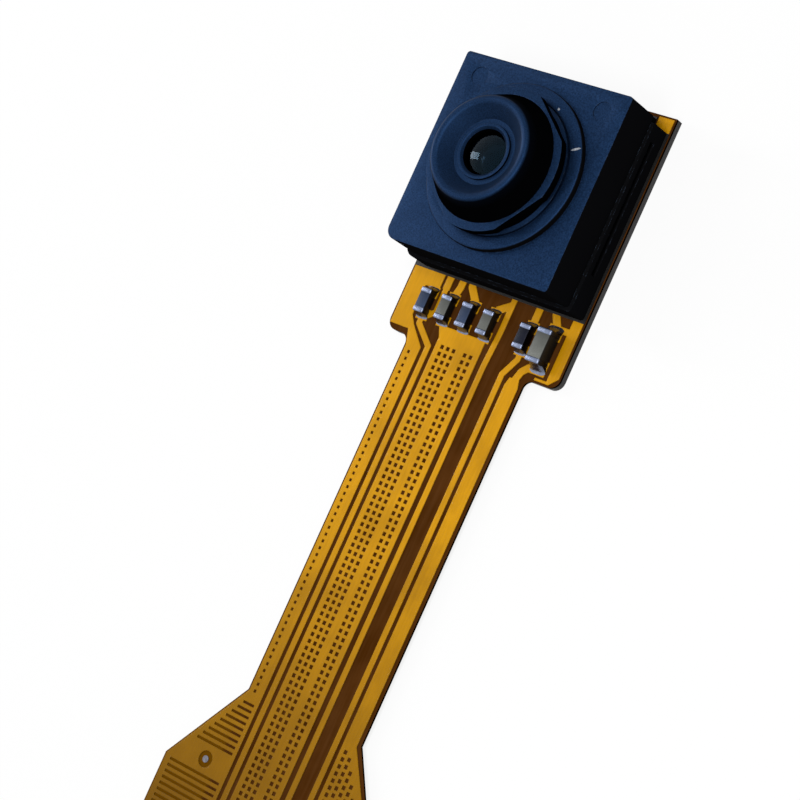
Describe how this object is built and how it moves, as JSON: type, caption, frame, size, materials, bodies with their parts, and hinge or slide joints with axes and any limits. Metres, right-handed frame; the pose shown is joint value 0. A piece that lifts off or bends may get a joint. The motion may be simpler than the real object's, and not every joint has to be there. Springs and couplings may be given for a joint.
{
  "type": "camera module",
  "caption": "Miniature camera module: a screw-in lens in a square black holder on the head of an amber flexible circuit with chip parts, hatched copper and a widened contact tail.",
  "frame": {"origin": "on the optical axis, at the back face of the stiffener under the head", "axes": "+Z along the optical axis towards the subject, +Y along the film from the contact tail towards the head, +X to the right seen from the front with the tail pointing down"},
  "size_m": [0.0115, 0.0412, 0.0058],
  "materials": {
    "stiffener": "smooth dark laminate",
    "polyimide": "glossy amber film",
    "copper": "satin copper under a clear amber cover film",
    "gold_plate": "smooth gold plating",
    "solder": "bright smooth solder",
    "tin_plate": "bright tin plating",
    "blue_ceramic": "semi-gloss",
    "tan_ceramic": "semi-gloss",
    "dark_ferrite": "semi-gloss",
    "black_adhesive": "satin cured adhesive",
    "holder_plastic": "fine satin moulded surface",
    "barrel_plastic": "satin moulded surface",
    "filter_glass": "polished",
    "lens_glass": "polished and coated",
    "black_shim": "matt",
    "silicon": "polished",
    "clear_adhesive": "glossy cured drops"
  },
  "bodies": {
    "root": {"head_stiffener": "stiffener", "tail_stiffener": "stiffener", "polyimide_film": "polyimide", "edge_ground_copper": "copper", "signal_traces": "copper", "hatched_ground_copper": "copper", "power_copper": "copper", "head_leads": "copper", "contact_fingers": "gold_plate", "via_pads": "copper", "test_pad": "solder", "capacitor_1": "blue_ceramic", "capacitor_2": "tan_ceramic", "capacitor_3": "blue_ceramic", "capacitor_4": "tan_ceramic", "ferrite_bead": "dark_ferrite", "bulk_capacitor": "tan_ceramic", "chip_end_caps": "tin_plate", "solder_fillets": "solder", "holder_adhesive": "black_adhesive", "lens_holder": "holder_plastic", "infrared_filter": "filter_glass", "sensor_solder_balls": "solder", "sensor_die": "silicon", "sensor_dam": "black_adhesive", "sensor_cover_glass": "filter_glass", "lens_barrel": "barrel_plastic", "front_lens": "lens_glass", "aperture_stop": "black_shim", "middle_lens": "lens_glass", "lens_spacer": "black_shim", "rear_lens": "lens_glass", "lens_retainer": "barrel_plastic", "focus_lock_adhesive": "clear_adhesive"}
  },
  "joints": []
}
